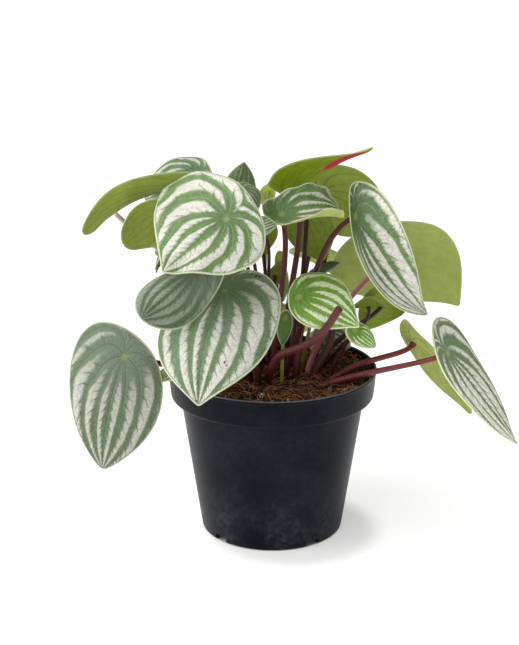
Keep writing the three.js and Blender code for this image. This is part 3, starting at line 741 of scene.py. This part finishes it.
def coir_looks(tree, values):
    """Brown coir: each crumb and fibre has its own shade, and the soil under them is dark and cloudy.

    That dark is partly the coir's own colour and partly painted shade for the gaps between crumbs and fibres.
    """
    clouds, grain = mottled(tree, 180.0)
    shade = clouds * 0.25 + attribute(tree, "shade")
    colour = layered(
        values.dark, (step(shade, 0.1, 0.6), values.middle), (step(shade, 0.65, 1.1), values.light))
    return {"Base Color": colour, "Roughness": 0.9, "Normal": raised(grain, 0.8 * MM, 0.8)}


def grain_looks(tree):
    """White expanded mineral grains."""
    clouds, grain = mottled(tree, 420.0)
    colour = layered(tint(226, 222, 210), (clouds, tint(188, 180, 164)))
    return {"Base Color": colour, "Roughness": 0.8, "Normal": raised(grain, 0.4 * MM, 0.8)}


def dry_looks(tree):
    """Dry flakes on the leaves, from dark to light brown by their own shade."""
    clouds = mottled(tree, 600.0)[0]
    light = layered(tint(170, 100, 62), (clouds, tint(120, 66, 40)))
    dark = layered(tint(70, 50, 38), (clouds, tint(38, 28, 24)))
    return {"Base Color": layered(dark, (attribute(tree, "shade"), light)), "Roughness": 0.75}


def floor_looks(tree, values):
    """White paper that glows: less beside the pot, a painted shadow where its shadow lies, and hardly at all
    under it, painted shade under its foot.
    """
    place = on_object(tree)
    middle = {0: place, 1: (0.012, -0.01, 0)}
    beside = put(tree, "ShaderNodeVectorMath", middle, "Value", operation="DISTANCE")
    below = put(tree, "ShaderNodeVectorMath", {0: place}, "Value", operation="LENGTH")
    # painted shadow: the glow is 0.42 near a point just right of the pot's middle and 0.67 from 58 mm out
    glow_with_painted_shadow = layered(grey(0.42), (step(beside, 0.04, 0.058), grey(0.67)))
    return {
        "Base Color": layered(values.floor, (speckle(place, 6.0) * 0.03, tint(186, 186, 186))),
        "Roughness": 0.9, "Emission Strength": 1.0,
        # painted shade: almost no glow within 39 mm of the pot's middle, under its foot
        "Emission Color": layered(grey(0.01), (step(below, 0.039, 0.0415), glow_with_painted_shadow)),
    }


# Leaf shapes


def leaf_frame(leaf):
    """Hub, unit directions along, across and out of the upper face, and the length from hub to tip."""
    hub = np.array(leaf.hub, dtype=float)
    along = np.array(leaf.tip) - hub
    length = np.linalg.norm(along)
    along = along / length
    face = np.array(leaf.face, dtype=float)
    face = unit(face - face @ along * along)
    return hub, along, np.cross(face, along), face, length


def outline(leaf, length, angle):
    """Outline of a blade: an ellipse round its middle, swelled at the back and pinched at the tip."""
    half = (length + leaf.back) / 2
    u = (length - leaf.back) / 2 + half * np.cos(angle)
    taper = 1 - leaf.point * np.exp(-((angle / 0.8) ** 2))
    swell = 1 - leaf.ovate * np.cos(angle)
    v = leaf.width / 2 * np.sin(angle) * swell * taper + leaf.lean * np.sin(angle) ** 2
    return u, v - leaf.skew * (1 - u / length) ** 2


def blade_height(leaf, length, u, v):
    """Height over the leaf's plane: a parabola along it, less a parabola across it, plus a twist."""
    half = leaf.width / 2
    front = 4 * leaf.arch * (u / length) * (1 - u / length)
    behind = 4 * leaf.arch * (u / length) * (1 + u / (2 * leaf.back)) + leaf.lift * (u / leaf.back) ** 2
    return np.where(u > 0, front, behind) - leaf.cup * (v / half) ** 2 + leaf.twist * u * v / (length * half)


def blade_point(leaf, u, v, z):
    """Place of plan point u, v at height z, after the sideways sweep, in the frame of the whole plant."""
    hub, along, across, face, length = leaf_frame(leaf)
    swept = v + 4 * leaf.sweep * (u / length) * (1 - u / length)
    return hub + u[..., None] * along + swept[..., None] * across + z[..., None] * face


def puffed(length, u, v, edge, spread, puff, veins):
    """Small relief: the blade rises between its main veins and dips at the hub.

    The angle seen from the hub plus the angle seen from the tip numbers the veins, as in the bands."""
    near = np.hypot(u, v)
    angle = np.abs(np.arctan2(spread * v, u) + np.arctan2(spread * v, POLE * length - u))
    turns = angle * (1 + BEND * (near / (near + edge + 0.1)) ** 3) * veins / (2 * np.pi)
    across = 1 - np.abs(2 * (turns - np.floor(turns)) - 1)
    window = smooth(near, 2, 14) * smooth(edge, 0, 5)
    return puff * across ** 0.6 * window - 0.6 * np.exp(-(near / 2.6) ** 2)


def blade_surface(leaf, order, spokes, rings, values):
    """Closed blade on a grid of rings round the hub: out over the upper face and back under the lower one.

    The two faces part by the thickness, which rounds off as a half circle at the margin. The rim values are
    the distances to the margin and to the hub, and how much the plan is spread sideways for the veins."""
    length = leaf_frame(leaf)[4]
    spread = max(1.0, SLIM * 2 * length / leaf.width)
    angle = np.linspace(-np.pi, np.pi, spokes, endpoint=False)
    outer_u, outer_v = outline(leaf, length, angle)
    out = np.concatenate([np.linspace(0, 0.985, rings + 1)[1:], [0.993, 0.998, 1.0]])
    share = np.concatenate([out, out[-2::-1]])[:, None]
    side = np.concatenate([np.ones(len(out) - 1), [0], -np.ones(len(out) - 1)])[:, None]
    u = share * outer_u
    v = share * outer_v
    edge = (1 - share) * np.hypot(outer_u, outer_v)
    rounding = np.sqrt(1 - np.clip(1 - edge / 0.45, 0, 1) ** 2)
    half = values.thickness / MM / 2
    z = blade_height(leaf, length, u, v) + leaf.wave * np.sin(leaf.waves * angle + 2.1 * order) * share ** 4
    z = z + puffed(length, u, v, edge, spread, values.puff / MM, values.bands)
    rows = blade_point(leaf, u, v, z + side * half * rounding)
    zero = np.zeros(1)
    dip = puffed(length, zero, zero, zero + 5, spread, 0, values.bands)
    top, bottom = (blade_point(leaf, zero, zero, dip + way * half)[0] for way in (1, -1))
    points, quads, fans = closed_rings(rows, top, bottom)
    plan = np.concatenate([grid(u, v).reshape(-1, 2) / length, np.zeros((2, 2))])
    rim = np.concatenate([grid(edge, np.hypot(u, v), spread).reshape(-1, 3), [[10.0, 0.0, spread]] * 2])
    under = np.repeat(np.arange(2 * len(out) - 2) >= len(out) - 1, spokes)
    under = np.concatenate([under, np.repeat([False, True], spokes)]).astype(np.int32)
    return points, (quads, fans), plan, rim, under


def add_blade(name, node, leaf, order, spokes, rings, values):
    """One blade with its upper and lower finishes, and the triples of values that carry its looks."""
    points, faces, plan, rim, under = blade_surface(leaf, order, spokes, rings, values)
    centre_x, centre_y, half_x, half_y = leaf.blush
    blush = 0.0
    if half_x:
        reach = np.hypot((plan[:, 0] - centre_x) / half_x, (plan[:, 1] - centre_y) / half_y)
        blush = 1 - smooth(reach, 0.75, 1.1)
    every = np.zeros(len(points))
    traits = {
        "rim": rim,
        "traits": grid(every + leaf.silver, leaf.fresh, leaf.bright),
        "extra": grid(every + 3.7 * order, blush, leaf.haze),
        "below": grid(every + leaf.under, leaf.lines, leaf.tone),
    }
    materials = [ready("leaf_upper", upper_looks, values), ready("leaf_under", under_looks, values)]
    add_piece(name, points, faces, materials, node, {"plan": plan}, traits, under)


def travelled(path):
    """Length of a path up to each of its points."""
    return np.concatenate([[0], np.cumsum(np.linalg.norm(np.diff(path, axis=0), axis=1))])


def rod(path, radius, sides):
    """Round rod along a path: rings square to the path, with slightly domed ends.

    The rings are lined up on the direction that is most nearly square to the whole path, which is the
    smallest eigenvector of the path's own directions multiplied by themselves."""
    way = unit(np.gradient(path, axis=0))
    flat = np.linalg.eigh(way.T @ way)[1][:, 0]
    first = unit(flat - (way @ flat)[:, None] * way)
    rings = path[:, None, :] + radius[:, None, None] * around(way, first, sides)
    start = path[0] - way[0] * radius[0] * DOME
    end = path[-1] + way[-1] * radius[-1] * DOME
    points, quads, fans = closed_rings(rings, start, end)
    along = grid(travelled(path)[:, None] / 10, np.sin(circle(sides))).reshape(-1, 2)
    return points, (quads, fans), np.concatenate([along, [along[0]], [along[-1]]])


def stalk_path(leaf, level, below, count):
    """Cubic curve from the root up, or out where lay is set, to the underside of the hub, square to it."""
    hub, along, across, face, length = leaf_frame(leaf)
    normal = unit(face - 4 * leaf.arch / length * along)
    start = np.array([*leaf.root, level - ROOT_DEPTH])
    out = unit(np.array([hub[0] - start[0], hub[1] - start[1], 0.0]))
    laid = (0.96 * out + np.array([0, 0, 0.28])) * leaf.lay
    way = unit(np.array([0, 0, 1.0 - leaf.lay]) + laid)
    climb = np.array([0, 0, 5.0 if leaf.lay > 0 else 0.0])
    end = hub - below * normal
    corners = [start, start + way * leaf.rise + climb, end - normal * leaf.reach, end]
    t = np.linspace(0, 1, count)[:, None]
    weights = [(1 - t) ** 3, 3 * (1 - t) ** 2 * t, 3 * (1 - t) * t ** 2, t ** 3]
    return sum(weight * corner for weight, corner in zip(weights, corners))


def add_stalk(name, node, path, radii, skin, flare, values):
    """One stalk: a little thicker at the soil, uneven on its way, and flared where it joins the blade."""
    t = np.linspace(0, 1, len(path))
    gone = travelled(path)
    radius = radii[0] + (radii[1] - radii[0]) * t
    radius = radius * (1 + 0.03 * np.sin(9 * t + path[0, 0])) + 0.25 * np.exp(-((t / 0.08) ** 2))
    radius = radius + flare * radii[1] * np.exp(-(((gone[-1] - gone) / 1.3) ** 2))
    points, faces, along = rod(path, radius, STALK_SIDES)
    material = ready("stalk_skin", stalk_looks, values)
    traits = {"skin": np.full(len(points), skin)}
    add_piece(name, points, faces, [material], node, {"along": along}, traits)


def add_leaves(scene, leaves, kinds, first, blade_grid, below, stalk_rings, flare):
    """Blades and stalks of a list of leaves, numbered from first for their random looks.

    kinds are the first words of the nodes of blade and stalk, blade_grid is spokes and rings, and below is
    how far a stalk ends under the middle of its blade."""
    for order, leaf in enumerate(leaves, first):
        blade_node, stalk_node = (f"{kind}_{leaf.name}" for kind in kinds)
        add_blade(f"{leaf.name}_blade", blade_node, leaf, order, *blade_grid, scene.peperomia_leaf)
        path = stalk_path(leaf, scene.peperomia_soil.top / MM, below, stalk_rings)
        add_stalk(f"{leaf.name}_stalk", stalk_node, path, leaf.stalk, leaf.skin, flare,
                  scene.peperomia_stalk)


# Soil shapes


def humps(x, y, values):
    """Height of the soil in millimetres: two crossed waves that fade at the wall, and a low mound."""
    radius = np.hypot(x, y) / SOIL_EDGE
    wave = np.sin(x / 6 + 1.3) * np.cos(y / 7) + 0.6 * np.sin((x + y) / 4.1 + 0.4)
    relief = (1 - radius ** 4) * values.relief / MM * wave
    return values.top / MM + relief + values.mound / MM * (1 - radius ** 2)


def lumps(x, y, size, seed):
    """Small lumps: the mean of waves of one size in random directions."""
    draw = np.random.default_rng(seed)
    heading = draw.uniform(0, 2 * np.pi, 9)
    phase = draw.uniform(0, 2 * np.pi, 9)
    travel = x[..., None] * np.cos(heading) + y[..., None] * np.sin(heading)
    return np.mean(np.sin(travel * 2 * np.pi / size + phase), axis=-1) * 1.8


def soil_rings(values):
    """Rings of the soil: up its side from the profile, then inwards over the lumpy surface."""
    side = np.array([
        (25.7, 1.8), (27.8, 6.0), (40.1, 6.0), (51.5, 81.75), (55.9, 82.45), (56.6, 83.3), (57.6, 91.4),
    ])
    angle = circle(220)
    low = grid(*polar(side[:, :1], angle), side[:, 1:])
    radius = np.linspace(57.3, 0.5, 76)[:, None]
    x, y = polar(radius, angle)
    fine = 0.55 * lumps(x, y, 3.4, 4) + 0.3 * lumps(x, y, 1.7, 5)
    z = humps(x, y, values) + fine * smooth(SOIL_EDGE - radius, 0, 3) - 0.4
    return np.concatenate([low, grid(x, y, z)])


def strand_paths(count, values, draw):
    """Paths of fibres on the soil: random places and headings, steady curl, a low hop in the middle."""
    t = np.linspace(0, 1, FIBRE_POINTS)
    length = draw.uniform(4, 20, (count, 1))
    heading = draw.uniform(0, 2 * np.pi, (count, 1)) + draw.normal(0, 1.3, (count, 1)) * t
    reach = 56 * np.sqrt(draw.uniform(0, 1, (count, 1)))
    turn = draw.uniform(0, 2 * np.pi, (count, 1))
    starts, ways = polar(reach, turn), polar(1, heading)
    x, y = (start + np.cumsum(way, axis=1) * length / FIBRE_POINTS for start, way in zip(starts, ways))
    inward = np.minimum(1, 56.6 / np.hypot(x, y))
    x, y = x * inward, y * inward
    hop = draw.uniform(0.1, 2.2, (count, 1)) ** 1.6 * 4 * t * (1 - t)
    return grid(x, y, humps(x, y, values) + draw.uniform(-0.2, 0.7, (count, 1)) + hop)


def strands(count, values, draw):
    """Three-sided fibres along all strand paths at once."""
    path = strand_paths(count, values, draw)
    way = unit(np.gradient(path, axis=1))
    first = unit(np.cross(way, np.array([0.0, 0.0, 1.0])))
    swell = np.array([0.4, 0.9, 1, 1, 1, 0.9, 0.4])[:, None, None]
    thick = draw.uniform(0.12, 0.34, (count, 1, 1, 1)) * swell
    points = path[:, :, None] + thick * around(way, first, FIBRE_SIDES)
    corners = FIBRE_POINTS * FIBRE_SIDES
    caps = np.array([[0, 1, 2], [corners - 1, corners - 2, corners - 3]])
    shift = np.arange(count)[:, None, None] * corners
    shade = np.repeat(draw.uniform(0.2, 1.2, count), corners)
    faces = ((ring_faces(FIBRE_POINTS, FIBRE_SIDES) + shift).reshape(-1, 4), (caps + shift).reshape(-1, 3))
    return points.reshape(-1, 3), faces, shade


def crumbs(centres, sizes, draw):
    """Eight-faced crumbs at the centres, each stretched, dented and turned at random.

    Each turn is a random unit quaternion: to a corner is added twice its first part times the cross product
    of its other three with the corner, and twice the cross product of those three with that product."""
    count = len(centres)
    corners = np.array([(1, 0, 0), (0, 1, 0), (-1, 0, 0), (0, -1, 0), (0, 0, 1), (0, 0, -1)], dtype=float)
    faces = np.array([
        (0, 1, 4), (1, 2, 4), (2, 3, 4), (3, 0, 4), (1, 0, 5), (2, 1, 5), (3, 2, 5), (0, 3, 5),
    ])
    shapes = corners * sizes[:, None, :] * draw.uniform(0.7, 1.25, (count, CRUMB_CORNERS, 1))
    turn = unit(draw.normal(size=(count, 1, 4)))
    crossed = np.cross(turn[..., 1:], shapes)
    points = centres[:, None] + shapes + 2 * turn[..., :1] * crossed + 2 * np.cross(turn[..., 1:], crossed)
    shift = np.arange(count)[:, None, None] * CRUMB_CORNERS
    return points.reshape(-1, 3), [(faces + shift).reshape(-1, 3)]


def scattered(count, values, draw, reach=56.4):
    """Random places on the soil's surface."""
    radius = reach * np.sqrt(draw.uniform(0, 1, count))
    turn = draw.uniform(0, 2 * np.pi, count)
    x, y = polar(radius, turn)
    return grid(x, y, humps(x, y, values))


# Operators


class PEPEROMIA_OT_pot(bpy.types.Operator):
    """Nursery pot: a turned profile with notches in its foot and drain holes in its raised channel"""
    bl_idname = "peperomia.pot"
    bl_label = "Pot"

    def profile(self, values):
        """Radius and height round the wall: under the floor, up outside, over the lip and down inside."""
        top, rim, base = (size / MM for size in (values.height, values.rim_radius, values.base_radius))
        return np.array([
            (25.6, 0.0), (26.1, 0.1), (26.4, 0.6), (27.7, 3.7), (28.3, 4.2), (37.6, 4.2), (38.3, 4.0),
            (38.6, 3.65), (39.1, 0.4), (39.5, 0.0), (base - 0.5, 0.0), (base - 0.1, 0.25), (base + 0.1, 0.8),
            (base + 0.55, 3.65), (base + 0.7, 4.6), (45.5, 30.0), (50.0, 60.0), (52.6, 77.5), (53.0, 79.6),
            (53.4, 80.3), (54.2, 80.45), (57.0, 80.6), (57.9, 80.9), (58.35, 81.6), (58.5, 82.6), (59.1, 88.5),
            (59.55, 94.2), (59.7, 95.0), (rim, 95.5), (rim, top - 0.9), (rim - 0.15, top - 0.35),
            (rim - 0.5, top - 0.05), (rim - 0.9, top), (rim - 1.25, top - 0.2), (rim - 1.4, top - 0.7),
            (58.1, 92.0), (57.1, 83.6), (56.8, 82.6), (56.2, 82.15), (52.6, 81.7), (52.0, 81.4), (51.75, 80.6),
            (44.2, 30.0), (40.8, 6.6), (40.3, 5.8), (39.6, 5.7), (28.4, 5.7), (27.8, 5.4), (26.4, 2.0),
            (25.8, 1.5),
        ])

    def apart(self, angles, others):
        """Each angle's distance to the nearest of the others, all the way round."""
        return np.min(np.abs((angles[:, None] - others + np.pi) % (2 * np.pi) - np.pi), axis=1)

    def turns(self, half):
        """Angles round the pot, with a close pair at each side of each notch, and which lie in a notch."""
        middles = np.radians(np.array(NOTCH_TURNS) - 90)
        sides = (middles[:, None] + np.array([-half, half])).ravel()
        close = (sides[:, None] + np.array([-0.0012, 0.0012])).ravel() % (2 * np.pi)
        even = circle(192)
        angles = np.sort(np.concatenate([even[self.apart(even, close) > 0.01], close]))
        return angles, self.apart(angles, middles) < half

    def drain(self, piece):
        """Cuts round drain holes with rods joined into one cutter."""
        holes = []
        for turn in np.radians(np.array(DRAIN_TURNS) - 90):
            path = np.array([[*polar(DRAIN_CIRCLE, turn), z] for z in (2.0, 3.5, 6.5, 8.0)])
            holes.append(rod(path, np.full(4, DRAIN_RADIUS), 40))
        corners = len(holes[0][0])
        points = np.concatenate([hole[0] for hole in holes])
        faces = [group + corners * i for i, hole in enumerate(holes) for group in hole[1]]
        cutter = add_object("drain_cutter", filled_mesh("drain_cutter", points, faces))
        cut = piece.modifiers.new("drain", "BOOLEAN")
        cut.object = cutter
        cut.solver = "EXACT"
        shaped = piece.evaluated_get(bpy.context.evaluated_depsgraph_get())
        piece.data = bpy.data.meshes.new_from_object(shaped)
        piece.modifiers.clear()
        bpy.data.objects.remove(cutter)

    def execute(self, context):
        values = context.scene.peperomia_pot
        profile = self.profile(values)
        angles, in_notch = self.turns(values.notch_width / values.base_radius / 2)
        lift = values.notch_height / MM
        foot = (profile[:, 0] > 38.0) & (profile[:, 1] < lift)
        z = np.where(foot[:, None] & in_notch, lift, profile[:, 1:])
        rings = grid(*polar(profile[:, :1], angles), z)
        points, quads, fans = closed_rings(rings, np.array([0, 0, 0.0]), np.array([0, 0, 1.5]))
        material = ready("pot_plastic", pot_looks, values)
        self.drain(add_piece("pot_wall", points, (quads, fans), [material], "pot"))
        return {"FINISHED"}


class PEPEROMIA_OT_soil(bpy.types.Operator):
    """Soil body with a lumpy surface, coir crumbs and fibres on it, and a few white grains"""
    bl_idname = "peperomia.soil"
    bl_label = "Soil"

    def execute(self, context):
        values = context.scene.peperomia_soil
        draw = np.random.default_rng(SOIL_SEED)
        coir = ready("coir", coir_looks, values)
        middle = np.array([0, 0, values.top / MM + 1.2])
        points, quads, fans = closed_rings(soil_rings(values), np.array([0, 0, 1.8]), middle)
        # a low shade keeps the body near the dark coir colour, partly painted shade for the gaps
        shade = 0.12 + 0.1 * lumps(points[:, 0], points[:, 1], 5.0, 8)
        add_piece("soil_body", points, (quads, fans), [coir], "soil", traits={"shade": shade})

        centres = scattered(values.crumbs, values, draw)
        sizes = draw.uniform(0.25, 1.0, (values.crumbs, 3)) * draw.uniform(0.7, 2.0, (values.crumbs, 1))
        points, faces = crumbs(centres, sizes, draw)
        shade = np.repeat(draw.uniform(0.05, 0.75, values.crumbs), CRUMB_CORNERS)
        add_piece("coir_crumbs", points, faces, [coir], "soil", traits={"shade": shade})

        points, faces, shade = strands(values.fibres, values, draw)
        add_piece("coir_fibres", points, faces, [coir], "soil", traits={"shade": shade})

        centres = scattered(WHITE_GRAINS, values, draw, 52)
        centres[:3] = [(-6, -43, 94.5), (8, -47, 93.2), (-24, -38, 93.6)]
        sizes = draw.uniform(0.6, 1.3, (WHITE_GRAINS, 3))
        sizes[0] = (1.6, 1.4, 2.2)
        points, faces = crumbs(centres, sizes, draw)
        add_piece("white_grains", points, faces, [ready("perlite", grain_looks)], "soil")
        return {"FINISHED"}


class PEPEROMIA_OT_large_leaves(bpy.types.Operator):
    """Large leaves: each a waved blade on a stalk that is its own piece"""
    bl_idname = "peperomia.large_leaves"
    bl_label = "Large leaves"

    def execute(self, context):
        add_leaves(context.scene, LARGE_LEAVES, ("blade", "stalk"), first=0, blade_grid=(144, 26),
                   below=1.05, stalk_rings=44, flare=0.5)
        return {"FINISHED"}


class PEPEROMIA_OT_small_leaves(bpy.types.Operator):
    """Small leaves near the soil, between the stalks and at the top"""
    bl_idname = "peperomia.small_leaves"
    bl_label = "Small leaves"

    def execute(self, context):
        add_leaves(context.scene, SMALL_LEAVES, ("leaf", "leaf"), first=30, blade_grid=(84, 16),
                   below=0.95, stalk_rings=36, flare=0.4)
        return {"FINISHED"}


class PEPEROMIA_OT_bare_stalks(bpy.types.Operator):
    """Leafless stalks: smooth curves through a few points"""
    bl_idname = "peperomia.bare_stalks"
    bl_label = "Bare stalks"

    def path(self, through, per_span):
        """Curve through the points: cubic spans that leave each along half the chord of its neighbours."""
        points = np.array(through, dtype=float)
        ends = np.concatenate([[2 * points[0] - points[1]], points, [2 * points[-1] - points[-2]]])
        way = (ends[2:] - ends[:-2]) / 2
        t = np.linspace(0, 1, per_span, endpoint=False)[:, None, None]
        a, b, from_way, to_way = points[:-1], points[1:], way[:-1], way[1:]
        spans = ((2 * t ** 3 - 3 * t ** 2 + 1) * a + (t ** 3 - 2 * t ** 2 + t) * from_way
                 + (3 * t ** 2 - 2 * t ** 3) * b + (t ** 3 - t ** 2) * to_way)
        return np.concatenate([spans.transpose(1, 0, 2).reshape(-1, 3), points[-1:]])

    def execute(self, context):
        values = context.scene.peperomia_stalk
        for row in BARE_STALKS:
            path = self.path(row["through"], 8)
            add_stalk(f"{row['name']}_skin", row["name"], path, row["radii"], row["skin"], 0.0, values)
        return {"FINISHED"}


class PEPEROMIA_OT_dry_bits(bpy.types.Operator):
    """Dry flakes and crumbs that lie on the front leaves"""
    bl_idname = "peperomia.dry_bits"
    bl_label = "Dry bits"

    def execute(self, context):
        draw = np.random.default_rng(FLAKE_SEED)
        leaves = {leaf.name: leaf for leaf in LARGE_LEAVES}
        centres = []
        for name, share, across, *_ in DRY_BITS:
            length = leaf_frame(leaves[name])[4]
            u, v = np.array([share * length]), np.array([across])
            z = blade_height(leaves[name], length, u, v) + 0.8
            centres.append(blade_point(leaves[name], u, v, z)[0])
        sizes = np.array([[1.0, 0.55, 0.3]]) * np.array([row[3] for row in DRY_BITS])[:, None]
        points, faces = crumbs(np.array(centres), sizes, draw)
        traits = {"shade": np.repeat([row[4] for row in DRY_BITS], CRUMB_CORNERS)}
        add_piece("dry_flakes", points, faces, [ready("dry_bits", dry_looks)], None, traits=traits)
        return {"FINISHED"}


class PEPEROMIA_OT_stage(bpy.types.Operator):
    """Floor, soft lights and the camera"""
    bl_idname = "peperomia.stage"
    bl_label = "Stage"

    def floor(self, values):
        """A wide sheet of paper a little under the pot."""
        corners = np.array([(-1, -1, 0), (1, -1, 0), (1, 1, 0), (-1, 1, 0)]) * FLOOR_REACH
        mesh = filled_mesh("floor", corners - (0, 0, FLOOR_DROP), [np.array([[0, 1, 2, 3]])])
        mesh.materials.append(ready("floor_paper", floor_looks, values))
        add_object("floor", mesh)

    def room(self, scene):
        """A room that is three times as bright at the left as at the right."""
        world = scene.world or bpy.data.worlds.new("room")
        scene.world = world
        world.use_nodes = True
        tree = world.node_tree
        across = axis(put(tree, "ShaderNodeTexCoord", None, "Generated"), "X")
        light = layered(grey(1.5), (step(across, -0.8, 0.8), grey(0.5)))
        fill(tree, tree.nodes["Background"], {"Color": light, "Strength": 0.5})

    def lamp(self, name, place, spread, power):
        """A wide even light that shines from its place to the pot; spread is its width as an angle."""
        data = bpy.data.lights.new(name, "SUN")
        data.angle = math.radians(spread)
        data.energy = power
        lamp = add_object(name, data)
        lamp.location = place
        x, y, z = place
        lamp.rotation_euler = (math.atan2(math.hypot(x, y), z), 0.0, math.atan2(-y, -x) - math.pi / 2)

    def camera(self, scene, values):
        """The camera, level from side to side, which looks at the aim from the front."""
        data = bpy.data.cameras.new("camera")
        data.sensor_fit = "VERTICAL"
        data.sensor_height = 36
        data.lens = values.lens
        data.clip_start = 0.05
        camera = add_object("camera", data)
        rise = values.elevation
        away = np.array([0, -math.cos(rise), math.sin(rise)]) * values.distance
        camera.location = np.array(values.aim) + away
        camera.rotation_euler = (math.pi / 2 - rise, 0, 0)
        scene.camera = camera
        scene.view_settings.view_transform = "Standard"

    def execute(self, context):
        values = context.scene.peperomia_stage
        self.floor(values)
        self.room(context.scene)
        for lamp in LAMPS:
            self.lamp(*lamp)
        self.camera(context.scene, values)
        return {"FINISHED"}


class PEPEROMIA_PT_panel(bpy.types.Panel):
    """Sizes, colours and build steps of the plant"""
    bl_idname = "PEPEROMIA_PT_panel"
    bl_label = "Potted peperomia"
    bl_space_type = "VIEW_3D"
    bl_region_type = "UI"
    bl_category = "Peperomia"

    def draw(self, context):
        for title, holder, kind in SETTINGS:
            box = self.layout.box()
            box.label(text=title)
            for key in kind.__annotations__:
                box.prop(getattr(context.scene, holder), key)
        for operator in STEPS:
            self.layout.operator(operator.bl_idname)


SETTINGS = [
    ("Pot", "peperomia_pot", PotSettings), ("Soil", "peperomia_soil", SoilSettings),
    ("Leaves", "peperomia_leaf", LeafSettings), ("Stalks", "peperomia_stalk", StalkSettings),
    ("Stage", "peperomia_stage", StageSettings),
]
STEPS = [
    PEPEROMIA_OT_pot, PEPEROMIA_OT_soil, PEPEROMIA_OT_large_leaves, PEPEROMIA_OT_small_leaves,
    PEPEROMIA_OT_bare_stalks, PEPEROMIA_OT_dry_bits, PEPEROMIA_OT_stage,
]


def register():
    for title, holder, kind in SETTINGS:
        bpy.utils.register_class(kind)
        setattr(bpy.types.Scene, holder, PointerProperty(type=kind))
    for operator in STEPS:
        bpy.utils.register_class(operator)
    bpy.utils.register_class(PEPEROMIA_PT_panel)


def unregister():
    bpy.utils.unregister_class(PEPEROMIA_PT_panel)
    for operator in reversed(STEPS):
        bpy.utils.unregister_class(operator)
    for title, holder, kind in reversed(SETTINGS):
        delattr(bpy.types.Scene, holder)
        bpy.utils.unregister_class(kind)


def main():
    register()
    bpy.ops.peperomia.pot()
    bpy.ops.peperomia.soil()
    bpy.ops.peperomia.large_leaves()
    bpy.ops.peperomia.small_leaves()
    bpy.ops.peperomia.bare_stalks()
    bpy.ops.peperomia.dry_bits()
    bpy.ops.peperomia.stage()


if __name__ == "__main__":
    main()
